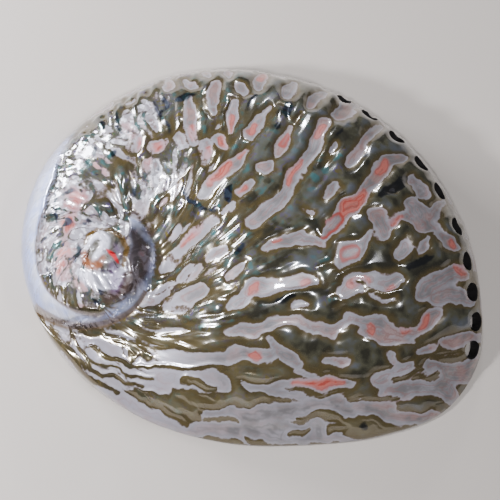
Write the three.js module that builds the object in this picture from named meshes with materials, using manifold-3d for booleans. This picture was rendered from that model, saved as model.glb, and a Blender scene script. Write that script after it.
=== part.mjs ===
// A polished abalone shell resting on its rim with the dome up, in one solid.
// Millimetres: X runs along the shell towards its growing end, Y towards the row of
// pores, Z up from the surface it rests on. Bearings are degrees, counter-clockwise
// from X as seen from above. A turn is the growth angle about the apex, clockwise.
import * as THREE from 'three';
import Module from 'manifold-3d';

// Driving dimensions
const domeHeight = 37.2;
const domeX = 6;
const domeY = 0;
const apexX = -45.5;
const apexY = -18.3;
const apexZ = 23;
const rimBevel = 0.8;
const wallThickness = 2.4;
const lipRimWidth = 3.2;
const columellaExtraWidth = 4.2;
const poreRadius = 2.1;
const poreRimHeight = 0.9;
const ribHeight = 0.55;

// Form of the dome: how round it is, how much steeper it ends on the steep side, and the
// dip in which the spire lies
const domeRoundness = 0.85;
const steepSideLift = 0.23;
const dipDepth = 7.5;
const dipReach = 26;
const hollowDipDepth = 15.5;
const hollowDipReach = 24;

// Mesh density
const outerRays = 112;
const innerRays = 56;
const rayTwist = 0.6;
const seamReach = 4;
const outerSteps = [0.985, 0.965, 0.94, 0.91, 0.875, 0.835, 0.79, 0.745, 0.7, 0.655, 0.61, 0.565, 0.52,
  0.475, 0.43, 0.39, 0.35, 0.315, 0.28, 0.25, 0.22, 0.192, 0.166, 0.142, 0.12, 0.1];
const spireSteps = [0.082, 0.064, 0.044, 0.024];
const innerSteps = [0.992, 0.975, 0.945, 0.9, 0.84, 0.76, 0.67, 0.57, 0.46, 0.34, 0.2];

// Outline in plan: bearing and distance from the middle of the shell
const outlineKnots = [[-165, 75.9], [-140, 70.4], [-111, 62.9], [-82, 59.1], [-53, 61.3], [-36, 67.6],
  [-20, 74.9], [-7, 75.8], [14, 69.8], [40, 64], [74, 61], [105, 63], [134, 68.4], [158, 72.8], [178, 76.2]];

// Seam where the last whorl meets the one before it: turn and distance from the apex,
// then turn and height. It starts beside the apex and ends where the outer lip starts.
const firstTurn = -219;
const lastTurn = 141;
const sutureKnots = [[-219, 4.4], [-180, 4.8], [-147, 5.4], [-110, 7.6], [-90, 10.8], [-69, 14], [-37, 15.8],
  [12, 17.5], [39, 19.8], [72, 21.5], [105, 23.6], [141, 26.1]];
const sutureHeights = [[-219, 21.6], [-147, 21.8], [-110, 21.2], [-90, 20.6], [-69, 19.6], [-37, 17.6],
  [12, 15.2], [39, 13.4], [72, 10.4], [105, 5.8], [125, 2], [141, 0]];

// Shoulder of the spire above that seam, and the seam of the small cap at its tip
const shoulderKnots = [[-219, 3], [-147, 4.2], [-101, 6.6], [-58, 8], [-22, 8.8], [10, 10.4], [31, 13.4],
  [48, 16.2], [64, 18.2], [82, 19.2], [101, 19.3], [129, 18.8], [141, 18.8]];
const tipKnots = [[0, 8.2], [50, 7.2], [100, 5.5], [152, 4.4], [213, 5.3], [259, 6.9], [302, 8.2]];

// Open pores, by bearing from the middle of the dome and part of the way out to the rim
const pores = [[87.6, 0.935], [76.9, 0.915], [64.7, 0.905], [52.3, 0.91], [41.2, 0.915], [28.1, 0.915],
  [17.5, 0.93], [9, 0.94], [1.5, 0.95], [-5.5, 0.958]];

const degree = Math.PI / 180;
const clamp = (v, low, high) => Math.min(Math.max(v, low), high);
const fullTurn = (v) => ((v % 360) + 360) % 360;

function smooth(v) {
  const t = clamp(v, 0, 1);
  return t * t * (3 - 2 * t);
}

// Cubic through the knots, with each slope taken from the neighbours on both sides
function curve(knots, at) {
  const last = knots.length - 1;
  const x = clamp(at, knots[0][0], knots[last][0]);
  let i = 0;
  while (i < last - 1 && knots[i + 1][0] <= x) i += 1;
  const slope = (k) => {
    if (k === 0) return (knots[1][1] - knots[0][1]) / (knots[1][0] - knots[0][0]);
    if (k === last) return (knots[k][1] - knots[k - 1][1]) / (knots[k][0] - knots[k - 1][0]);
    const before = knots[k][0] - knots[k - 1][0];
    const after = knots[k + 1][0] - knots[k][0];
    const rise = (knots[k][1] - knots[k - 1][1]) / before;
    const next = (knots[k + 1][1] - knots[k][1]) / after;
    return (rise * after + next * before) / (before + after);
  };
  const h = knots[i + 1][0] - knots[i][0];
  const t = (x - knots[i][0]) / h;
  const a = 2 * t ** 3 - 3 * t ** 2 + 1;
  const b = t ** 3 - 2 * t ** 2 + t;
  const d = t ** 3 - t ** 2;
  return a * knots[i][1] + b * h * slope(i) + (1 - a) * knots[i + 1][1] + d * h * slope(i + 1);
}

// The same curve closed on itself after a whole turn
function closedCurve(knots, at) {
  const before = knots.slice(-3).map(([x, y]) => [x - 360, y]);
  const after = knots.slice(0, 3).map(([x, y]) => [x + 360, y]);
  return curve([...before, ...knots, ...after], knots[0][0] + fullTurn(at - knots[0][0]));
}

// Distance to the outline from any point inside it, looked up by bearing
function outlineSeenFrom(cx, cy) {
  const seen = [];
  for (let bearing = -180; bearing < 180; bearing += 1) {
    const r = closedCurve(outlineKnots, bearing);
    const dx = r * Math.cos(bearing * degree) - cx;
    const dy = r * Math.sin(bearing * degree) - cy;
    seen.push([Math.atan2(dy, dx) / degree, Math.hypot(dx, dy)]);
  }
  seen.sort((p, q) => p[0] - q[0]);
  return (bearing) => {
    const wanted = fullTurn(bearing + 180) - 180;
    let i = seen.findIndex((p) => p[0] > wanted);
    if (i < 0) i = 0;
    const from = seen[(i + seen.length - 1) % seen.length];
    const to = seen[i];
    const gap = fullTurn(to[0] - from[0]);
    return from[1] + (to[1] - from[1]) * fullTurn(wanted - from[0]) / gap;
  };
}
const rimFromApex = outlineSeenFrom(apexX, apexY);
const rimFromDome = outlineSeenFrom(domeX, domeY);

// Bearings of the rays where they reach the rim, closer together where the rim is farther
// from the apex, so that ribs are equally wide all round
function evenRimBearings(count) {
  const step = 0.1;
  const sums = [0];
  for (let k = 0; k < 360 / step; k += 1) sums.push(sums.at(-1) + rimFromApex(k * step - 180));
  const whole = sums.at(-1);
  return Array.from({ length: count }, (_, k) => sums.findIndex((sum) => sum >= (k * whole) / count) * step - 180);
}
const rimBearings = evenRimBearings(outerRays);

// 1 on the steep side with the pores and behind the spire, 0 on the gently sloping lip
function steepSide(bearing) {
  if (bearing > -90) return smooth((bearing + 14) / 40);
  return smooth((-bearing - 110) / 45);
}

// Height of the plain dome, with the dip in which the spire lies
function dome(x, y) {
  const bearing = Math.atan2(y - domeY, x - domeX) / degree;
  const out = clamp(Math.hypot(x - domeX, y - domeY) / rimFromDome(bearing), 0, 1);
  const side = steepSide(bearing);
  const dip = dipDepth * Math.exp(-((x + 40) ** 2 + (y + 20) ** 2) / dipReach ** 2) * (1 - out ** 4);
  const vault = domeHeight * Math.max(1 - (out * (1 - steepSideLift * side)) ** 2, 0) ** domeRoundness;
  return (vault - dip) * Math.max(1 - out ** 14, 1e-9) ** (0.5 * side);
}

// Pulls the dome to a given height at a given distance from the apex, fading outwards
function bentDome(x, y, r, turn, from, fromZ, reach) {
  const rim = rimFromApex(-turn);
  const start = Math.min(from, rim);
  const startX = apexX + start * Math.cos(turn * degree);
  const startY = apexY - start * Math.sin(turn * degree);
  const out = clamp((r - start) / Math.max(rim - start, 0.5), 0, 1);
  const fade = Math.exp(-(((r - start) / reach) ** 2)) * (1 - out ** 3);
  return dome(x, y) + (fromZ - dome(startX, startY)) * fade;
}

function turnOf(bearing) {
  return fullTurn(-bearing - firstTurn) + firstTurn;
}
function seamDistance(turn) {
  return Math.min(curve(sutureKnots, turn), rimFromApex(-turn));
}

// Height of the outside without its ribs: the last whorl outside the seam, the spire inside it
function whorlHeight(x, y) {
  const r = Math.hypot(x - apexX, y - apexY);
  const turn = turnOf(Math.atan2(y - apexY, x - apexX) / degree);
  const seam = seamDistance(turn);
  const seamZ = curve(sutureHeights, turn);
  if (r > seam) {
    const reach = Math.min(17, 3 + 0.45 * Math.max(rimFromApex(-turn) - seam, 0.5));
    return Math.max(bentDome(x, y, r, turn, seam, seamZ, reach), 0);
  }
  const earlier = bentDome(x, y, r, turn, sutureKnots[0][1], sutureHeights[0][1], 12);
  const shoulder = curve(shoulderKnots, turn);
  const down = clamp((r - shoulder) / Math.max(seam - shoulder, 0.4), 0, 1);
  const top = apexZ - 2.8 * (r / 19) ** 2;
  const disc = seamZ + (top - seamZ) * (1 - down ** 2) ** 0.62;
  const ownDisc = Math.max(smooth((lastTurn - turn) / 60), 1 - smooth((r - 3) / 5));
  const tip = 1.4 * Math.max(1 - (r / closedCurve(tipKnots, fullTurn(turn))) ** 2, 0) ** 0.7;
  return Math.max(earlier + (disc - earlier) * ownDisc + tip, 0);
}

// Where the pore row runs, and the low rim of shell around each pore
function porePlace([bearing, out]) {
  const r = out * rimFromDome(bearing);
  return [domeX + r * Math.cos(bearing * degree), domeY + r * Math.sin(bearing * degree)];
}
function poreRims(x, y) {
  const rimAt = poreRadius + 1.2;
  return pores.reduce((sum, pore) => {
    const [px, py] = porePlace(pore);
    return sum + poreRimHeight * Math.exp(-(((Math.hypot(x - px, y - py) - rimAt) / 1.5) ** 2));
  }, 0);
}

function outerHeight(x, y) {
  return rimBevel + whorlHeight(x, y);
}

// Underside: the lowest of a smooth vault, the wall that rises from the rim and a skin
// that keeps the shell's least thickness under the spire
function innerRim(bearing) {
  const side = bearing > -90 ? smooth(bearing / 45) : smooth((-bearing - 125) / 35);
  return rimFromDome(bearing) - lipRimWidth - columellaExtraWidth * side;
}
function vaultHeight(x, y) {
  const bearing = Math.atan2(y - domeY, x - domeX) / degree;
  const out = clamp(Math.hypot(x - domeX, y - domeY) / rimFromDome(bearing), 0, 1);
  const dip = hollowDipDepth * Math.exp(-((x + 33) ** 2 + (y + 17) ** 2) / hollowDipReach ** 2);
  const vault = domeHeight * Math.max(1 - (out * (1 - 0.2 * steepSide(bearing))) ** 2, 0) ** domeRoundness;
  return vault - dip;
}
function innerHeight(x, y) {
  const bearing = Math.atan2(y - domeY, x - domeX) / degree;
  const inside = Math.max(innerRim(bearing) - Math.hypot(x - domeX, y - domeY), 0);
  const step = 0.5;
  const slopeX = (vaultHeight(x + step, y) - vaultHeight(x - step, y)) / (2 * step);
  const slopeY = (vaultHeight(x, y + step) - vaultHeight(x, y - step)) / (2 * step);
  const drop = wallThickness * Math.sqrt(1 + slopeX ** 2 + slopeY ** 2);
  const vault = Math.max(vaultHeight(x, y) - drop, 0.05);
  const wall = 7 * Math.sqrt(inside + 1e-6) + 1e-3;
  const skin = Math.max(outerHeight(x, y) - wallThickness, 0.3);
  return (vault ** -5 + wall ** -5 + skin ** -5) ** -0.2;
}

// Vertices and triangles are gathered here, ring by ring
const positions = [];
const triangles = [];
function addVertex(x, y, z) {
  positions.push(x, y, z);
  return positions.length / 3 - 1;
}

// Joins an outer loop to an inner one, both counter-clockwise, always taking the shorter step
function joinLoops(outer, inner, up, offset = 0) {
  const turned = (i) => (i + offset) % inner.length;
  const distance = (p, q) => Math.hypot(
    positions[3 * p] - positions[3 * q],
    positions[3 * p + 1] - positions[3 * q + 1],
  );
  const face = (p, q, r) => triangles.push(...(up ? [p, q, r] : [p, r, q]));
  let i = 0;
  let j = 0;
  while (i < outer.length || j < inner.length) {
    const o = outer[i % outer.length];
    const n = inner[turned(j)];
    const nextO = outer[(i + 1) % outer.length];
    const nextN = inner[turned(j + 1)];
    const stepOuter = j >= inner.length || (i < outer.length && distance(nextO, n) <= distance(o, nextN));
    if (stepOuter) {
      face(o, nextO, n);
      i += 1;
    } else {
      face(o, nextN, n);
      j += 1;
    }
  }
}

// Joins two rings of the outside ray by ray, so that every ridge stays one line of edges
function joinRings(outer, inner) {
  outer.forEach((o, i) => {
    const next = (i + 1) % outer.length;
    triangles.push(o, outer[next], inner[next], o, inner[next], inner[i]);
  });
}

// Closes a loop with a fan about a middle vertex
function closeLoop(loop, middle, up) {
  loop.forEach((p, i) => {
    const q = loop[(i + 1) % loop.length];
    triangles.push(...(up ? [p, q, middle] : [q, p, middle]));
  });
}

// The rays of the outside leave the apex as spirals, as the ribs do
function rayPoint(part, ray) {
  const bearing = rimBearings[ray] * degree + rayTwist * Math.log(Math.max(part, 0.1));
  return { bearing, r: part * rimFromApex(rimBearings[ray]), seam: seamDistance(turnOf(bearing / degree)) };
}

// Along each ray the vertices near the seam are moved a little, until one lies on it
const seamShifts = rimBearings.map((_, ray) => {
  const along = [...outerSteps, ...spireSteps].map((part) => rayPoint(part, ray));
  const nearest = along.reduce((a, b) => (Math.abs(b.seam - b.r) < Math.abs(a.seam - a.r) ? b : a));
  return { at: nearest.r, by: nearest.seam - nearest.r };
});

// One ring of the outside. Every second ray runs along the top of a rib, and every fourth
// one nearer the apex. Ribs swell and fade in lumps along their length.
function outerRing(part, rays) {
  const loop = [];
  for (let k = 0; k < rays; k += 1) {
    const ray = (k * outerRays) / rays;
    const { bearing, r: evenly, seam } = rayPoint(part, ray);
    const shift = seamShifts[ray];
    const r = evenly + shift.by * Math.exp(-(((evenly - shift.at) / seamReach) ** 2));
    const x = apexX + r * Math.cos(bearing);
    const y = apexY + r * Math.sin(bearing);
    const lumps = 0.65 + 0.35 * Math.sin(0.31 * x + 0.12 * y) * Math.sin(0.27 * y - 0.1 * x);
    const fade = smooth((r - Math.max(seam + 1, 14)) / 14) * smooth((1 - part) / 0.09);
    const fine = smooth((part - 0.45) / 0.35);
    const ridge = fine * Math.cos(Math.PI * ray) + (1 - fine) * Math.cos((Math.PI * ray) / 2);
    const rib = ridge * ribHeight * lumps * fade;
    loop.push(addVertex(x, y, outerHeight(x, y) + rib + poreRims(x, y) * smooth((1 - part) / 0.03)));
  }
  return loop;
}

// The rim as seen from the apex, inset evenly towards the middle of the dome
function rimLoop(z, inset) {
  const loop = [];
  rimBearings.forEach((bearing) => {
    const r = rimFromApex(bearing);
    const x = apexX + r * Math.cos(bearing * degree);
    const y = apexY + r * Math.sin(bearing * degree);
    const scale = 1 - inset / Math.hypot(x - domeX, y - domeY);
    loop.push(addVertex(domeX + (x - domeX) * scale, domeY + (y - domeY) * scale, z));
  });
  return loop;
}

function innerRing(part) {
  const loop = [];
  for (let k = 0; k < innerRays; k += 1) {
    const bearing = fullTurn((360 * k) / innerRays + 180) - 180;
    const r = part * innerRim(bearing);
    const x = domeX + r * Math.cos(bearing * degree);
    const y = domeY + r * Math.sin(bearing * degree);
    loop.push(addVertex(x, y, part === 1 ? 0 : innerHeight(x, y)));
  }
  return loop;
}

// Start the second loop beside the first vertex of the first one
function nearestStart(outer, inner) {
  const [x, y] = [positions[3 * outer[0]], positions[3 * outer[0] + 1]];
  const gaps = inner.map((v) => Math.hypot(positions[3 * v] - x, positions[3 * v + 1] - y));
  return gaps.indexOf(Math.min(...gaps));
}

function buildOutside() {
  const rim = rimLoop(rimBevel, 0);
  let previous = rim;
  outerSteps.forEach((part) => {
    const ring = outerRing(part, outerRays);
    joinRings(previous, ring);
    previous = ring;
  });
  spireSteps.forEach((part) => {
    const ring = outerRing(part, outerRays / 2);
    if (ring.length === previous.length) joinRings(previous, ring);
    else joinLoops(previous, ring, true);
    previous = ring;
  });
  closeLoop(previous, addVertex(apexX, apexY, outerHeight(apexX, apexY)), true);
  return rim;
}

function buildUnderside(rim) {
  const foot = rimLoop(0, 0.5);
  joinLoops(rim, foot, false);
  const edge = innerRing(1);
  joinLoops(foot, edge, false, nearestStart(foot, edge));
  let previous = edge;
  innerSteps.forEach((part) => {
    const ring = innerRing(part);
    joinLoops(previous, ring, false);
    previous = ring;
  });
  closeLoop(previous, addVertex(domeX, domeY, innerHeight(domeX, domeY)), false);
}

// A ten-sided plug along the pore's own axis, wider at the mouth
function porePlug(pore) {
  const [x, y] = porePlace(pore);
  const bearing = pore[0] * degree;
  const lean = 0.62;
  const axis = new THREE.Vector3(Math.cos(bearing) * lean, Math.sin(bearing) * lean, Math.sqrt(1 - lean ** 2));
  const above = 4;
  const below = 13;
  const plug = new THREE.CylinderGeometry(poreRadius * 1.25, poreRadius * 0.85, above + below, 10);
  const middle = new THREE.Vector3(x, y, outerHeight(x, y)).addScaledVector(axis, (above - below) / 2);
  plug.applyQuaternion(new THREE.Quaternion().setFromUnitVectors(new THREE.Vector3(0, 1, 0), axis));
  plug.translate(middle.x, middle.y, middle.z);
  return plug;
}

const wasm = await Module();
wasm.setup();

// Merges equal points, so that the library reads the triangles as one closed surface
function solidFrom(points, faces) {
  const seen = new Map();
  const merged = [];
  const numbers = [];
  for (let i = 0; i < points.length; i += 3) {
    const key = [0, 1, 2].map((k) => points[i + k].toFixed(4)).join(' ');
    if (!seen.has(key)) {
      seen.set(key, merged.length / 3);
      merged.push(points[i], points[i + 1], points[i + 2]);
    }
    numbers.push(seen.get(key));
  }
  const kept = [];
  for (let i = 0; i < faces.length; i += 3) {
    const [a, b, c] = [numbers[faces[i]], numbers[faces[i + 1]], numbers[faces[i + 2]]];
    if (a !== b && b !== c && a !== c) kept.push(a, b, c);
  }
  return new wasm.Manifold(new wasm.Mesh({
    numProp: 3,
    vertProperties: new Float32Array(merged),
    triVerts: new Uint32Array(kept),
  }));
}

function buildShell() {
  buildUnderside(buildOutside());
  const whole = solidFrom(positions, triangles);
  const pierced = pores.reduce((solid, pore) => {
    const plug = porePlug(pore);
    return solid.subtract(solidFrom(plug.attributes.position.array, plug.index.array));
  }, whole);
  const mesh = pierced.getMesh();
  const geometry = new THREE.BufferGeometry();
  geometry.setAttribute('position', new THREE.BufferAttribute(mesh.vertProperties, 3));
  geometry.setIndex(new THREE.BufferAttribute(mesh.triVerts, 1));
  geometry.computeBoundingBox();
  const { min, max } = geometry.boundingBox;
  geometry.translate(-(min.x + max.x) / 2, -(min.y + max.y) / 2, 0);
  geometry.computeVertexNormals();
  return geometry;
}

const nacre = new THREE.MeshStandardMaterial({ color: 0xa9a293, roughness: 0.14, metalness: 0.25 });
const shell = new THREE.Mesh(buildShell(), nacre);
shell.name = 'shell';

const abalone = new THREE.Group();
abalone.add(shell);

export default abalone;
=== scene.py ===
import math
import bpy
import numpy as np
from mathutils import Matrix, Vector


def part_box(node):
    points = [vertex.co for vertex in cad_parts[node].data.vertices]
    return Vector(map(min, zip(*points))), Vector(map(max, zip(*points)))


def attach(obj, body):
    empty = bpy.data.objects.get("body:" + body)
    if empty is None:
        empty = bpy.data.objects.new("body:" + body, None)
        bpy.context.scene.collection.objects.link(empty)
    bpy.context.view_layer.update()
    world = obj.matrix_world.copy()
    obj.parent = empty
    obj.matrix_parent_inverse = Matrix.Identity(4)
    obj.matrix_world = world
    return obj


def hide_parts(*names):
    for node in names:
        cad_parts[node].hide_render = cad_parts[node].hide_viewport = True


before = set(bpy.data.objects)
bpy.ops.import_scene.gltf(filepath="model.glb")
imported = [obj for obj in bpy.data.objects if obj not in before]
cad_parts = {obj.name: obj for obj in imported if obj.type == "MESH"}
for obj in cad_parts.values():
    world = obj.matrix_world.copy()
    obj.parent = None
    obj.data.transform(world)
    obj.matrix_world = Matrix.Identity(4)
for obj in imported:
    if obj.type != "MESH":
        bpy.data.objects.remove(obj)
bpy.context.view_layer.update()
mm = 0.001

# The shell's form. Lengths are mm, bearings run counter-clockwise from X seen from above,
# and a turn is the growth angle about the apex, clockwise.
shellForm = {
    "apex": (-45.5, -18.3, 23.0),
    "dome": (6.0, 0.0, 37.2),
    "domeRoundness": 0.85,
    "steepSide": ((-14, 40), (110, 45)),        # bearing where it starts, and over how much, on the right and left
    "columellaSide": ((0, 45), (125, 35)),
    "steepSideLift": 0.23,
    "steepEdge": (14, 0.5),                     # powers: how late the steep side turns down, and how far
    "dipEnd": 4,                                # power: how late the dip fades towards the rim
    "hollowSideLift": 0.2,
    "dip": (-40.0, -20.0, 7.5, 26.0),           # x, y, depth, reach
    "hollowDip": (-33.0, -17.0, 15.5, 24.0),
    "rimBevel": 0.8,
    "rimClearance": 0.02,                       # the outline stands this far inside its knots
    "footInset": 0.5,
    "wall": 2.4,
    "wallRise": 7,                              # height of the hollow's wall 1 mm inside the rim
    "hollowBlend": 5,                           # the higher, the sharper the hollow's three parts meet
    "lipRim": 3.2,
    "columellaExtra": 4.2,
    "seamFade": (3.0, 0.45, 17.0),              # the whorl leaves the seam's height over a + b width, at most c
    "earlierFade": 12.0,
    "spireDrop": (2.8, 19.0),                   # the spire's top is this much lower this far from the apex
    "discEnd": (60, 3, 5),                      # the spire's disc ends over this turn, from this far out, over this
    "cap": (1.4, 0.7),                          # height and roundness
    "outline": [(-165, 75.9), (-140, 70.4), (-111, 62.9), (-82, 59.1), (-53, 61.3), (-36, 67.6), (-20, 74.9),
                (-7, 75.8), (14, 69.8), (40, 64), (74, 61), (105, 63), (134, 68.4), (158, 72.8), (178, 76.2)],
    "seam": [(-219, 4.4), (-180, 4.8), (-147, 5.4), (-110, 7.6), (-90, 10.8), (-69, 14), (-37, 15.8),
             (12, 17.5), (39, 19.8), (72, 21.5), (105, 23.6), (141, 26.1)],
    "seamHeight": [(-219, 21.6), (-147, 21.8), (-110, 21.2), (-90, 20.6), (-69, 19.6), (-37, 17.6),
                   (12, 15.2), (39, 13.4), (72, 10.4), (105, 5.8), (125, 2), (141, 0)],
    "shoulder": [(-219, 3), (-147, 4.2), (-101, 6.6), (-58, 8), (-22, 8.8), (10, 10.4), (31, 13.4),
                 (48, 16.2), (64, 18.2), (82, 19.2), (101, 19.3), (129, 18.8), (141, 18.8)],
    "tip": [(0, 8.2), (50, 7.2), (100, 5.5), (152, 4.4), (213, 5.3), (259, 6.9), (302, 8.2)],
    "pores": [(87.6, 0.935), (76.9, 0.915), (64.7, 0.905), (52.3, 0.91), (41.2, 0.915), (28.1, 0.915),
              (17.5, 0.93), (9, 0.94), (1.5, 0.95), (-5.5, 0.958)],   # bearing from the dome, part of the way out
    "poreRadius": 2.1,
    "poreRim": (0.9, 1.2, 1.5),                 # height, distance outside the pore, width
    "ribTwist": 0.6,                            # radians that a rib turns while its distance grows e times
    "topSteps": 264,                            # grid cells across the top; the hollow has half as many
    "poleDensity": 1.18,                        # above 1 draws the grid together at the apex
}
apexX, apexY, apexZ = shellForm["apex"]
domeX, domeY, domeZ = shellForm["dome"]
firstTurn = shellForm["seam"][0][0]
lastTurn = shellForm["seam"][-1][0]


def ease(t):  # 3t^2 - 2t^3 between 0 and 1
    t = np.clip(t, 0.0, 1.0)
    return t * t * (3.0 - 2.0 * t)


def curve(knots, at, period=None):  # cubic through the knots; its slopes come from the neighbours on both sides
    x = np.array([k[0] for k in knots], float)
    y = np.array([k[1] for k in knots], float)
    at = np.asarray(at, float)
    if period:
        x = np.concatenate([x[-3:] - period, x, x[:3] + period])
        y = np.concatenate([y[-3:], y, y[:3]])
        at = (at - knots[0][0]) % period + knots[0][0]
    slope = np.gradient(y, x)
    i = np.clip(np.searchsorted(x, at, side="right") - 1, 0, len(x) - 2)
    h = x[i + 1] - x[i]
    t = np.clip((at - x[i]) / h, 0, 1)
    a = 2 * t**3 - 3 * t**2 + 1
    return a * y[i] + (t**3 - 2 * t**2 + t) * h * slope[i] + (1 - a) * y[i + 1] + (t**3 - t**2) * h * slope[i + 1]


outlineBearing = np.linspace(-180, 180, 1441)[:-1]
outlineRadius = curve(shellForm["outline"], outlineBearing, 360.0) - shellForm["rimClearance"]
outlineX = outlineRadius * np.cos(np.radians(outlineBearing))
outlineY = outlineRadius * np.sin(np.radians(outlineBearing))


def outlineSeenFrom(cx, cy):  # distance from (cx, cy) to the outline, looked up by bearing
    bearing = np.degrees(np.arctan2(outlineY - cy, outlineX - cx))
    order = np.argsort(bearing)
    bearings = np.concatenate([bearing[order] - 360, bearing[order], bearing[order] + 360])
    distances = np.tile(np.hypot(outlineX - cx, outlineY - cy)[order], 3)
    return lambda bearing: np.interp((bearing + 180) % 360 - 180, bearings, distances)


rimFromApex = outlineSeenFrom(apexX, apexY)
rimFromDome = outlineSeenFrom(domeX, domeY)


def farSide(bearing, name):  # 0 on the gently sloping lip, eased to 1 on the right and on the left of the far side
    (right, rightWidth), (left, leftWidth) = shellForm[name]
    return np.where(bearing > -90, ease((bearing - right) / rightWidth), ease((-bearing - left) / leftWidth))


def vault(x, y, lift):  # height (1 - (out (1 - lift))^2)^roundness, where out is the part of the way to the rim
    bearing = np.degrees(np.arctan2(y - domeY, x - domeX))
    out = np.clip(np.hypot(x - domeX, y - domeY) / rimFromDome(bearing), 0, 1)
    side = farSide(bearing, "steepSide")
    return domeZ * np.maximum(1 - (out * (1 - lift * side))**2, 0)**shellForm["domeRoundness"], out, side


def dent(x, y, place):  # a round dent with a bell-shaped section
    cx, cy, depth, reach = place
    return depth * np.exp(-((x - cx)**2 + (y - cy)**2) / reach**2)


def domeHeight(x, y):  # the vault, less the dip for the spire, falling steeply to the rim on the steep side
    z, out, side = vault(x, y, shellForm["steepSideLift"])
    late, down = shellForm["steepEdge"]
    z = z - dent(x, y, shellForm["dip"]) * (1 - out**shellForm["dipEnd"])
    return z * np.maximum(1 - out**late, 1e-9)**(down * side)


def polar(x, y):  # distance from the apex and growth turn there
    r = np.hypot(x - apexX, y - apexY)
    return r, (-np.degrees(np.arctan2(y - apexY, x - apexX)) - firstTurn) % 360 + firstTurn


def seamAt(turn):  # distance of the seam from the apex, or of the rim where that is nearer
    return np.minimum(curve(shellForm["seam"], turn), rimFromApex(-turn))


def tipRadius(turn):  # the cap's edge, by turn
    return curve(shellForm["tip"], turn % 360, 360.0)


def bentDome(x, y, r, turn, start, startZ, reach):  # the dome pulled to startZ at a distance start, fading outwards
    rim = rimFromApex(-turn)
    sx = apexX + start * np.cos(np.radians(turn))
    sy = apexY - start * np.sin(np.radians(turn))
    out = np.clip((r - start) / np.maximum(rim - start, 0.5), 0, 1)
    return domeHeight(x, y) + (startZ - domeHeight(sx, sy)) * np.exp(-((r - start) / reach)**2) * (1 - out**3)


def whorlHeight(x, y):  # the last whorl outside the seam, the spire inside it
    r, turn = polar(x, y)
    seam = seamAt(turn)
    seamZ = curve(shellForm["seamHeight"], turn)
    fade, fadePart, fadeMost = shellForm["seamFade"]
    reach = np.minimum(fadeMost, fade + fadePart * np.maximum(rimFromApex(-turn) - seam, 0.5))
    body = bentDome(x, y, r, turn, seam, seamZ, reach)
    start, startZ = shellForm["seam"][0][1], shellForm["seamHeight"][0][1]
    earlier = bentDome(x, y, r, turn, start, startZ, shellForm["earlierFade"])
    shoulder = curve(shellForm["shoulder"], turn)
    down = np.clip((r - shoulder) / np.maximum(seam - shoulder, 0.4), 0, 1)
    drop, dropAt = shellForm["spireDrop"]
    top = apexZ - drop * (r / dropAt)**2
    disc = seamZ + (top - seamZ) * (1 - down**2)
    endTurn, endStart, endWidth = shellForm["discEnd"]
    ownDisc = np.maximum(ease((lastTurn - turn) / endTurn), 1 - ease((r - endStart) / endWidth))
    capHeight, capRoundness = shellForm["cap"]
    tip = capHeight * np.maximum(1 - (r / tipRadius(turn))**2, 0)**capRoundness
    return np.maximum(np.where(r > seam, body, earlier + (disc - earlier) * ownDisc + tip), 0)


def outerHeight(x, y):  # the whorl stands on the bevelled edge of the rim
    return shellForm["rimBevel"] + whorlHeight(x, y)


def innerRim(bearing):  # distance from the dome's middle to the inner edge of the flat rim
    extra = shellForm["columellaExtra"] * farSide(bearing, "columellaSide")
    return rimFromDome(bearing) - shellForm["lipRim"] - extra


def hollowVault(x, y):  # the vault less a dent that stays clear of the spire
    return vault(x, y, shellForm["hollowSideLift"])[0] - dent(x, y, shellForm["hollowDip"])


def slopes(height, x, y, step):  # rise of a height along X and along Y, between points a step to each side
    return ((height(x + step, y) - height(x - step, y)) / (2 * step),
            (height(x, y + step) - height(x, y - step)) / (2 * step))


def innerHeight(x, y):
    # softly the lowest of three: the vault less the wall, the wall rising from the rim, a skin under the spire
    bearing = np.degrees(np.arctan2(y - domeY, x - domeX))
    inside = np.maximum(innerRim(bearing) - np.hypot(x - domeX, y - domeY), 0)
    slopeX, slopeY = slopes(hollowVault, x, y, 0.5)
    under = np.maximum(hollowVault(x, y) - shellForm["wall"] * np.sqrt(1 + slopeX**2 + slopeY**2), 0.05)
    wall = shellForm["wallRise"] * np.sqrt(inside + 1e-6) + 1e-3
    skin = np.maximum(outerHeight(x, y) - shellForm["wall"], 0.3)
    blend = shellForm["hollowBlend"]
    return (under**-blend + wall**-blend + skin**-blend)**(-1 / blend)


def porePlaces():  # X, Y and bearing of each pore: a part of the way from the dome's middle to the rim
    bearing = np.radians([p[0] for p in shellForm["pores"]])
    r = np.array([p[1] for p in shellForm["pores"]]) * rimFromDome(np.degrees(bearing))
    return domeX + r * np.cos(bearing), domeY + r * np.sin(bearing), bearing


def softNoise(x, y, seed):  # random values on a unit lattice, eased from point to point, -1 to 1
    table = np.random.default_rng(seed).uniform(-1, 1, (256, 256))
    i, j = np.floor(x).astype(int), np.floor(y).astype(int)
    u, v = ease(x - i), ease(y - j)
    low = table[i & 255, j & 255] * (1 - u) + table[(i + 1) & 255, j & 255] * u
    high = table[i & 255, (j + 1) & 255] * (1 - u) + table[(i + 1) & 255, (j + 1) & 255] * u
    return low * (1 - v) + high * v


def ribNoise(x, y, across, along, seed):
    # noise drawn out along the ribs, which are spirals bearing = start + twist ln r. Bands of distance
    # that double in size fade into each other, so that its grain stays across by along mm.
    r, turn = polar(x, y)
    logR = np.log(np.maximum(r, 1.0))
    start = np.radians(-turn) - shellForm["ribTwist"] * logR
    total = np.zeros_like(x)
    weight = np.zeros_like(x)
    for octave in range(8):
        size = 2.0**octave
        w = np.clip(1 - np.abs(np.log2(np.maximum(r, 1.0)) - octave), 0, 1)
        total += w * softNoise(start * size / across, logR * size / along, seed + octave)
        weight += w**2
    return total / np.sqrt(np.maximum(weight, 1e-6))


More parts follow.
